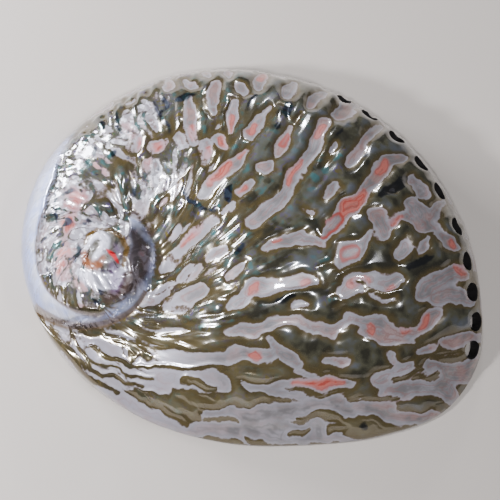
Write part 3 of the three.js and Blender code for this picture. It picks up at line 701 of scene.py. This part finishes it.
def meshObject(name, meshName, points, faces):  # an object of the scene made from points and faces
    mesh = bpy.data.meshes.new(meshName)
    mesh.from_pydata(points, [], faces)
    made = bpy.data.objects.new(name, mesh)
    bpy.context.scene.collection.objects.link(made)
    return made, mesh


print("shell: surface")
points, faces, kinds = buildShellMesh()
framePoints, planShift = toFrame(points)
shell, shellMesh = meshObject("abaloneShell", "shellSurface", framePoints.tolist(), faces)
shellMesh.polygons.foreach_set("material_index", kinds)
shellMesh.update()


def addNode(tree, kind, inputs, output=0, **settings):
    # one node: its sockets get values or links and its properties the settings; gives one of its outputs
    node = tree.nodes.new("ShaderNode" + kind)
    stops = settings.pop("stops", [])
    for name, value in settings.items():
        setattr(node, name, value)
    for number, (position, colour) in enumerate(stops):
        element = node.color_ramp.elements[number] if number < 2 else node.color_ramp.elements.new(position)
        element.position, element.color = position, colour
    for key, value in inputs.items():
        if isinstance(value, bpy.types.NodeSocket):
            tree.links.new(value, node.inputs[key])
        else:
            node.inputs[key].default_value = value
    return node.outputs[output] if len(node.outputs) else node


def linear(hexColour):  # sRGB hex to linear RGBA
    parts = [int(hexColour[i:i + 2], 16) / 255 for i in (0, 2, 4)]
    return tuple(c / 12.92 if c <= 0.04045 else ((c + 0.055) / 1.055)**2.4 for c in parts) + (1.0,)


def newMaterial(name):  # an empty material and its node tree
    material = bpy.data.materials.new(name)
    material.use_nodes = True
    material.node_tree.nodes.clear()
    return material, material.node_tree


# Outside: aragonite mother of pearl, ground and polished. The pale prismatic islands look chalky;
# the nacre ridges between them are clear over dark layers and reflect sharply.
outsideColours = {
    "ridgeDark": "2a281d", "ridgeGreen": "4a4837", "ridgeBlue": "54575a", "warm": "766a48",
    "outline": "4f4325", "outlineNear": "585446",
    # the silver colours paint a sheen: partly the nacre's own silver, partly painted light where highlights fall
    "silverTeal": "4a7c7c", "silver": "6b6e62", "silverViolet": "6c6088", "silverGold": "7c6e34",
    # the glint colours are painted glints of interference colour in the base colour
    "glintTeal": "24868c", "glintBlue": "3c5cae", "glintViolet": "6c469c", "glintGold": "94801e",
    "glintGreen": "3c7c44",
    # the white at the end of the next row paints small glints on the flecked places
    "paleGrey": "64605e", "pale": "767271", "paleWhite": "8d898b", "paleNear": "918c90", "whiteGlint": "f2f2f8",
    "blush": "8e6658", "pink": "d07a6a", "coral": "ab584a", "coralLine": "8a2618", "ring": "8a2c1c",
    "edge": "949094", "vein": "704a40",
    "black": "05070a", "teal": "0f2a30", "navy": "11172e", "slate": "28333f",
    # the first colour of the next row is painted shade: the band bluer and darker where it turns down at the rim
    "bandBlueShade": "7a8cc0", "bandLilac": "a8b6e4", "bandWhite": "e0e6f8", "tan": "6a5230",
    # the first colour of the next row is painted shade for the steep wall right of the cap
    "grooveShade": "3f3029", "cap": "4c4836", "swirl": "e6e4ee", "violet": "6a4a78", "gold": "5c4418",
    # crimson paints one glint on the cap
    "rust": "8e5330", "crimson": "c00018",
}
# Colours that change along a level: where on it each one stands
outsideRamps = {
    "ridge": ("shine", [(0.36, "ridgeDark"), (0.54, "ridgeGreen"), (0.72, "ridgeBlue")]),
    "sheen": ("patches", [(0.36, "silverTeal"), (0.44, "silver"), (0.56, "silver"), (0.63, "silverViolet"),
                          (0.7, "silverGold")]),
    "hue": ("patches", [(0.4, "glintTeal"), (0.47, "glintBlue"), (0.53, "glintViolet"), (0.58, "glintGold"),
                        (0.64, "glintGreen")]),
    "island": ("layer", [(0.3, "paleGrey"), (0.5, "pale"), (0.72, "paleWhite")]),
    "pool": ("patches", [(0.4, "teal"), (0.47, "black"), (0.54, "navy"), (0.6, "slate")]),
    "band": ("clouds", [(0.35, "bandLilac"), (0.65, "bandWhite")]),
}
# Noises: size of their patches in mm, and detail
outsideNoises = {"grain": (1.1, 2.0), "clouds": (5.0, 2.0), "patches": (3.0, 1.0), "spots": (1.6, 1.0)}
# Levels made from two others, in order: the first times a number, plus the second. The grain moves the
# edges of the first four by a third of a mm. Two levels then go up and down as waves.
outsideLevels = [
    ("inlay", "grain", 0.7, "inlay"), ("coral", "grain", 0.8, "coral"), ("pool", "grain", 0.7, "pool"),
    ("gold", "grain", 0.6, "gold"), ("striae", "streak", 0.8, "striae"), ("shine", "tone", 0.16, "clouds"),
    ("glint", "streak", 0.22, "shine"), ("blush", "tone", 0.2, "clouds"), ("coralLine", "coral", 6.0, "clouds"),
    ("bands", "inlay", 5.0, "grain"), ("layer", "bands", 0.11, "clouds"), ("layer", "streak", 0.08, "layer"),
]
outsideWaves = ("coralLine", "bands")
# How much each part covers: the level that it follows, where on it the part starts, where it is full,
# and how much it covers there
outsideSteps = {
    "nearSpire": ("silver", 0.45, 1.0, 1.0), "glint": ("glint", 0.35, 0.62, 1.0),
    "coloured": ("spots", 0.54, 0.68, 0.36), "beside": ("inlay", -1.7, 0.0, 0.9), "island": ("inlay", 0.1, 0.5, 1.0),
    "blush": ("blush", 0.48, 0.7, 0.55), "pink": ("pink", -1.4, 1.0, 0.85), "core": ("coral", -0.8, 0.7, 0.88),
    "coralLine": ("coralLine", 0.1, 1.0, 0.8), "edge": ("inlay", 1.5, 0.5, 0.6), "vein": ("bands", 0.3, 1.0, 0.5),
    "whiteGlint": ("spots", 0.47, 0.4, 0.5), "ring": ("ring", -0.5, 0.2, 1.0), "ringHole": ("ring", 1.5, 0.4, 0.85),
    "pool": ("pool", 0.1, 0.8, 0.95), "lines": ("lines", -0.3, 0.3, 0.8), "grooveShade": ("grooveShade", -2.2, 1.6, 0.95),
    "cap": ("cap", 0.3, 1.0, 0.8), "striae": ("striae", -0.4, 0.8, 0.8), "swirl": ("swirl", -0.9, 0.4, 0.95),
    "violet": ("violet", -1.6, 1.6, 0.6), "gold": ("gold", -0.2, 0.5, 0.9), "rust": ("rust", -0.5, 0.9, 0.9),
    "crimson": ("crimson", -0.3, 0.3, 1.0),
}
# Weights: their value off a zone, and in it
outsideWeights = {
    "inFlecks": ("flecked", 0.3, 1.0), "offFlecks": ("flecked", 1.0, 0.45), "upper": ("lower", 1.0, 0.3),
    "warm": ("lower", 0.0, 0.5),
}
# Parts that cover less where one of the others named is weak
outsideLimits = [
    ("glint", "silver"), ("coloured", "nearSpire", "inFlecks"), ("beside", "offFlecks"), ("blush", "upper"),
    ("pink", "flecked"), ("coralLine", "core"), ("vein", "upper"), ("whiteGlint", "flecked"),
    ("ring", "ringHole", "island"),
]
# Layers in order: the colour that is covered, how much of it, and by which
outsideLayers = [
    # ridges: dark olive nacre with blue-grey clouds; a silvery sheen near the spire and where highlights fall,
    # partly the nacre's own silver and partly painted light; painted glints of interference colour there;
    # warmer on the lower side and brown beside an island
    ("outline", "flecked", "outlineNear"), ("ridge", "glint", "sheen"), ("ridge", "coloured", "hue"),
    ("ridge", "warm", "warm"), ("ridge", "beside", "outline"),
    # islands: grey-white layers, a blush, coral cores with fine lines, a light edge, veins, and painted white glints
    ("island", "whitest", "paleNear"), ("island", "blush", "blush"), ("island", "pink", "pink"),
    ("island", "core", "coral"), ("island", "coralLine", "coralLine"), ("island", "edge", "edge"),
    ("island", "vein", "vein"), ("island", "whiteGlint", "whiteGlint"), ("ridge", "island", "island"),
    # red loops round two cores, and dark pools where the nacre near the spire shows teal and blue
    ("ridge", "ring", "ring"), ("black", "silver", "pool"), ("ridge", "pool", "black"),
    # the smooth band round the spire, bluer and darker at the rim as painted shade where it turns down,
    # between thin tan lines
    ("band", "rimShade", "bandBlueShade"), ("ridge", "band", "band"), ("ridge", "lines", "tan"),
    # the cap, with painted shade on the steep wall at its right, a white swirl, violet, gold-brown lines
    # and one painted crimson glint
    ("ridge", "grooveShade", "grooveShade"), ("ridge", "cap", "cap"), ("ridge", "striae", "swirl"), ("ridge", "swirl", "swirl"),
    ("ridge", "violet", "violet"), ("ridge", "gold", "gold"), ("ridge", "rust", "rust"),
    ("ridge", "crimson", "crimson"),
]
# Pairs are the ridge's roughness and the island's, the mirror of dark ridges and of silvery ones, and the
# least and most of the ripple
outsideLook = {
    "roughness": (0.18, 0.34), "mirror": (0.3, 0.62), "islandMirror": 0.05, "ripple": (0.05, 0.5),
    "rippleNearSpire": 0.25, "bump": 0.4, "bumpHeight": 0.2, "ior": 1.6, "coatIor": 1.5, "coatRoughness": 0.03,
}


def outsideMaterial():
    # the tables above in turn: levels, how much each part covers, colours, and the layers over each other
    material, tree = newMaterial("polishedMotherOfPearl")
    place = addNode(tree, "TexCoord", {}, "Object")
    level = {name: addNode(tree, "Attribute", {}, "Fac", attribute_name=name) for name in fieldNames}
    for name, (size, detail) in outsideNoises.items():
        level[name] = addNode(tree, "TexNoise", {"Vector": place, "Scale": 1 / (size * mm), "Detail": detail}, "Fac")
    for name, first, times, second in outsideLevels:
        level[name] = addNode(tree, "Math", {0: level[first], 1: times, 2: level[second]}, operation="MULTIPLY_ADD")
        if name in outsideWaves:
            level[name] = addNode(tree, "Math", {0: level[name]}, operation="SINE")

    cover = {name: level[name] for name in ("silver", "flecked", "whitest", "rimShade", "band")}
    for name, (on, off, full) in outsideWeights.items():
        cover[name] = addNode(tree, "MapRange", {"Value": level[on], "To Min": off, "To Max": full}, "Result")
    for name, (on, low, high, most) in outsideSteps.items():
        cover[name] = addNode(tree, "MapRange", {
            "Value": level[on], "From Min": low, "From Max": high, "To Max": most}, "Result",
            interpolation_type="SMOOTHSTEP")
    for name, *others in outsideLimits:
        for other in others:
            cover[name] = addNode(tree, "Math", {0: cover[name], 1: cover[other]}, operation="MULTIPLY")
    # painted glints: white spots in the flecked places, none where pink shows
    cover["whiteGlint"] = addNode(tree, "Math", {0: cover["whiteGlint"], 1: cover["pink"]}, operation="SUBTRACT", use_clamp=True)

    colour = {name: linear(value) for name, value in outsideColours.items()}
    for name, (on, stops) in outsideRamps.items():
        colour[name] = addNode(tree, "ValToRGB", {"Fac": level[on]}, "Color", stops=[
            (position, colour[stop]) for position, stop in stops])
    for under, amount, over in outsideLayers:
        colour[under] = addNode(tree, "Mix", {0: cover[amount], 6: colour[under], 7: colour[over]}, 2, data_type="RGBA")

    # the ridges reflect more sharply than the islands, and most like a mirror where they are silvery
    look = outsideLook
    (sharp, dull), (least, most), (smoothest, roughest) = look["roughness"], look["mirror"], look["ripple"]
    offBand = addNode(tree, "Math", {0: 1.0, 1: cover["band"]}, operation="SUBTRACT")
    chalk = addNode(tree, "Math", {0: cover["island"], 1: offBand}, operation="MULTIPLY")
    roughness = addNode(tree, "MapRange", {"Value": chalk, "To Min": sharp, "To Max": dull}, "Result")
    mirror = addNode(tree, "MapRange", {"Value": cover["glint"], "To Min": least, "To Max": most}, "Result")
    metallic = addNode(tree, "Mix", {0: chalk, 2: mirror, 3: look["islandMirror"]}, 0, data_type="FLOAT")
    rippled = addNode(tree, "Math", {0: cover["nearSpire"], 1: look["rippleNearSpire"], 2: cover["flecked"]},
                      operation="MULTIPLY_ADD")
    rippled = addNode(tree, "MapRange", {"Value": rippled, "To Min": smoothest, "To Max": roughest}, "Result",
                      clamp=False)
    ripple = addNode(tree, "Math", {0: level["grain"], 1: rippled}, operation="MULTIPLY")
    normal = addNode(tree, "Bump", {"Strength": look["bump"], "Distance": look["bumpHeight"] * mm, "Height": ripple},
                     "Normal")
    shader = addNode(tree, "BsdfPrincipled", {
        "Base Color": colour["ridge"], "Roughness": roughness, "Normal": normal, "Metallic": metallic,
        "IOR": look["ior"], "Coat Weight": 1.0, "Coat Roughness": look["coatRoughness"], "Coat IOR": look["coatIor"]})
    addNode(tree, "OutputMaterial", {"Surface": shader})
    return material


# Hollow: nacre as it grew, silvery with soft pink and green clouds of about 14 mm.
hollowLook = {"silver": "c9cbc8", "pink": "d3b3bb", "green": "a3c2b4", "clouds": 14.0, "detail": 3.0,
              "roughness": 0.22, "metallic": 0.35, "ior": 1.6, "coat": 0.6, "coatRoughness": 0.08,
              "stops": [(0.26, "green"), (0.46, "silver"), (0.55, "silver"), (0.76, "pink")]}


def hollowMaterial():  # the colour runs through the stops with a soft noise
    material, tree = newMaterial("hollowMotherOfPearl")
    look = hollowLook
    place = addNode(tree, "TexCoord", {}, "Object")
    clouds = addNode(tree, "TexNoise", {"Vector": place, "Scale": 1 / (look["clouds"] * mm), "Detail": look["detail"]},
                     "Fac")
    colour = addNode(tree, "ValToRGB", {"Fac": clouds}, "Color", stops=[
        (at, linear(look[name])) for at, name in look["stops"]])
    shader = addNode(tree, "BsdfPrincipled", {
        "Base Color": colour, "Roughness": look["roughness"], "Metallic": look["metallic"], "IOR": look["ior"],
        "Coat Weight": look["coat"], "Coat Roughness": look["coatRoughness"]})
    addNode(tree, "OutputMaterial", {"Surface": shader})
    return material


# Pore walls: painted shade, one plain dark colour for nacre deep in the pores.
poreShadeLook = {"colour": "211f1d", "roughness": 0.4, "ior": 1.6}


def poreShadeMaterial():  # one plain colour
    material, tree = newMaterial("poreWallShade")
    # painted shade: the walls are one plain dark colour
    shader = addNode(tree, "BsdfPrincipled", {
        "Base Color": linear(poreShadeLook["colour"]), "Roughness": poreShadeLook["roughness"], "IOR": poreShadeLook["ior"]})
    addNode(tree, "OutputMaterial", {"Surface": shader})
    return material


# Plug that cuts a pore: mm above and below the surface, sine of its lean, and its radii as parts of the pore's
porePlug = {"sides": 24, "above": 4.0, "below": 13.0, "lean": 0.62, "mouth": 1.6, "foot": 0.85}


def cutPores(target):
    # each pore is a many-sided plug, wider at its mouth, leaning outwards along the shell's normal
    px, py, bearings = porePlaces()
    pz = outerHeight(px, py)
    sides, lean = porePlug["sides"], porePlug["lean"]
    angle = np.linspace(0, 2 * np.pi, sides, endpoint=False)
    circle = np.stack([np.cos(angle), np.sin(angle), np.zeros(sides)], 1)
    cutPoints, cutFaces = [], []
    for k in range(len(px)):
        axis = Vector((math.cos(bearings[k]) * lean, math.sin(bearings[k]) * lean, math.sqrt(1 - lean**2)))
        turn = np.array(axis.to_track_quat("Z", "Y").to_matrix())
        mouth = circle * shellForm["poreRadius"] * porePlug["mouth"] + np.array([0, 0, porePlug["above"]])
        foot = circle * shellForm["poreRadius"] * porePlug["foot"] - np.array([0, 0, porePlug["below"]])
        plug = np.concatenate([foot, mouth]) @ turn.T + np.array([px[k], py[k], pz[k]])
        base = k * 2 * sides
        ring = np.arange(sides)
        nextOne = (ring + 1) % sides
        cutPoints.append(plug)
        cutFaces += np.stack([base + ring, base + nextOne, base + sides + nextOne, base + sides + ring], 1).tolist()
        cutFaces += [(base + ring[::-1]).tolist(), (base + sides + ring).tolist()]
    placed, _ = toFrame(np.concatenate(cutPoints))
    plugs, mesh = meshObject("porePlugs", "porePlugs", placed.tolist(), cutFaces)
    for material in target.data.materials:
        mesh.materials.append(material)
    mesh.polygons.foreach_set("material_index", [2] * len(mesh.polygons))
    cut = target.modifiers.new("pores", "BOOLEAN")
    cut.operation, cut.solver, cut.object = "DIFFERENCE", "EXACT", plugs
    evaluated = target.evaluated_get(bpy.context.evaluated_depsgraph_get())
    pierced = bpy.data.meshes.new_from_object(evaluated)
    target.modifiers.clear()
    old = target.data
    target.data = pierced
    bpy.data.meshes.remove(old)
    bpy.data.objects.remove(plugs)


print("shell: materials")
for material in (outsideMaterial(), hollowMaterial(), poreShadeMaterial()):
    shellMesh.materials.append(material)

print("shell: pores")
cutPores(shell)
shellMesh = shell.data
shellMesh.name = "shellSurface"

print("shell: markings")
count = len(shellMesh.vertices)
flat = np.empty(count * 3)
shellMesh.vertices.foreach_get("co", flat)
place = flat.reshape(-1, 3) / mm
fields = surfaceFields(place[:, 0] - planShift[0], place[:, 1] - planShift[1])
for name in fieldNames:
    shellMesh.attributes.new(name, "FLOAT", "POINT").data.foreach_set("value", fields[name].astype(np.float32))
shellMesh.shade_smooth()
shellMesh.set_sharp_from_angle(angle=math.radians(60))
print("shell:", count, "points,", len(shellMesh.polygons), "faces")
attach(shell, "root")
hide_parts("shell")

# Floor: matt pale paper, a hair under the rim. Metres.
stageLook = {"size": 3.0, "height": -0.0001, "colour": "b2a99c", "roughness": 0.7}
half, height = stageLook["size"] / 2, stageLook["height"]
corners = [(-half, -half, height), (half, -half, height), (half, half, height), (-half, half, height)]
floor, floorMesh = meshObject("floor", "floor", corners, [(0, 1, 2, 3)])
paper, paperTree = newMaterial("palePaper")
paperShader = addNode(paperTree, "BsdfPrincipled", {
    "Base Color": linear(stageLook["colour"]), "Roughness": stageLook["roughness"]})
addNode(paperTree, "OutputMaterial", {"Surface": paperShader})
floorMesh.materials.append(paper)

# The photograph was taken from above, slightly from the front right. Metres and degrees.
view = {"azimuth": 19.5, "elevation": 72.0, "distance": 0.62, "lens": 143.5, "sensor": 36.0,
        "clip": (0.01, 20.0), "target": (-0.0023, -0.0016, 0.014)}
azimuth, elevation = math.radians(view["azimuth"]), math.radians(view["elevation"])
back = Vector((math.sin(azimuth) * math.cos(elevation), -math.cos(azimuth) * math.cos(elevation), math.sin(elevation)))
cameraData = bpy.data.cameras.new("camera")
cameraData.lens, cameraData.sensor_width = view["lens"], view["sensor"]
cameraData.clip_start, cameraData.clip_end = view["clip"]
camera = bpy.data.objects.new("camera", cameraData)
camera.location = Vector(view["target"]) + back * view["distance"]
camera.rotation_euler = (-back).to_track_quat("-Z", "Y").to_euler()
bpy.context.scene.collection.objects.link(camera)
bpy.context.scene.camera = camera

# Softboxes: bearing seen from above, height angle, distance and size in metres, power in watts
lights = {
    "key": {"bearing": 215, "height": 42, "distance": 0.4, "size": (0.045, 0.045), "power": 2.4},
    "window": {"bearing": 163, "height": 20, "distance": 0.4, "size": (0.16, 0.05), "power": 3.3},
    "back": {"bearing": 100, "height": 24, "distance": 0.5, "size": (0.04, 0.02), "power": 0.7},
    "top": {"bearing": 290, "height": 68, "distance": 0.7, "size": (0.05, 0.05), "power": 3.4},
    "right": {"bearing": 15, "height": 55, "distance": 0.8, "size": (0.05, 0.05), "power": 1.7},
}
ambient = {"lightTint": "eef1ff", "colour": "d9dbe0", "strength": 0.18}   # the softboxes' tint; the room's light
for name, setting in lights.items():
    data = bpy.data.lights.new(name, "AREA")
    data.shape = "RECTANGLE"
    data.size, data.size_y = setting["size"]
    data.energy = setting["power"]
    data.color = linear(ambient["lightTint"])[:3]
    b, h = math.radians(setting["bearing"]), math.radians(setting["height"])
    direction = Vector((math.cos(b) * math.cos(h), math.sin(b) * math.cos(h), math.sin(h)))
    lamp = bpy.data.objects.new(name, data)
    lamp.location = direction * setting["distance"]
    lamp.rotation_euler = direction.to_track_quat("Z", "Y").to_euler()
    bpy.context.scene.collection.objects.link(lamp)

world = bpy.data.worlds.new("studio")
world.use_nodes = True
background = world.node_tree.nodes["Background"]
background.inputs["Color"].default_value = linear(ambient["colour"])
background.inputs["Strength"].default_value = ambient["strength"]
bpy.context.scene.world = world

print("stage: done")
